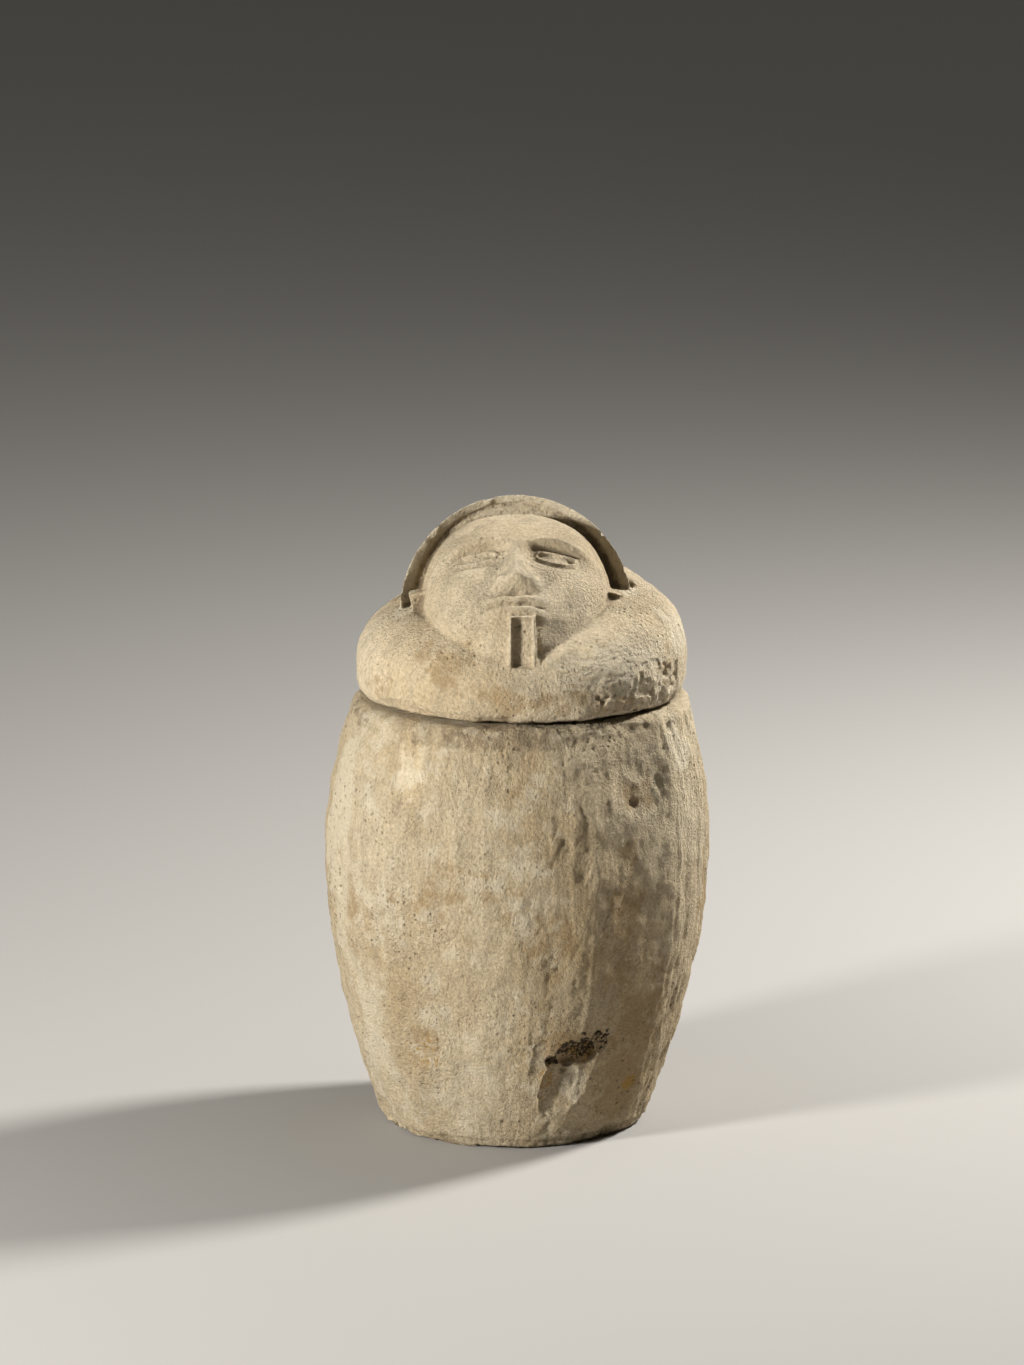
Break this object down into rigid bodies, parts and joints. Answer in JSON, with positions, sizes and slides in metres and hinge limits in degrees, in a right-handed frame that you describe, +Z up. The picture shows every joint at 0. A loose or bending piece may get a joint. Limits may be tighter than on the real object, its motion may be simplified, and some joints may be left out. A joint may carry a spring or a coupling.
{
  "type": "canopic jar",
  "caption": "Barrel-shaped hollow limestone vessel with a loose carved lid: an upturned human head in a plain wig, set on a thick collar that covers the mouth.",
  "frame": {"origin": "middle of the jar's flat underside, on the ground it stands on", "axes": "+Z up through the jar and its lid, -Y towards the side that the face looks to, +X to the viewer's right"},
  "size_m": [0.1909, 0.1891, 0.3068],
  "materials": {
    "limestone_body": "rough, weathered",
    "limestone_lid": "rough, weathered"
  },
  "bodies": {
    "root": {"jar_body": "limestone_body", "head_lid": "limestone_lid"}
  },
  "joints": []
}
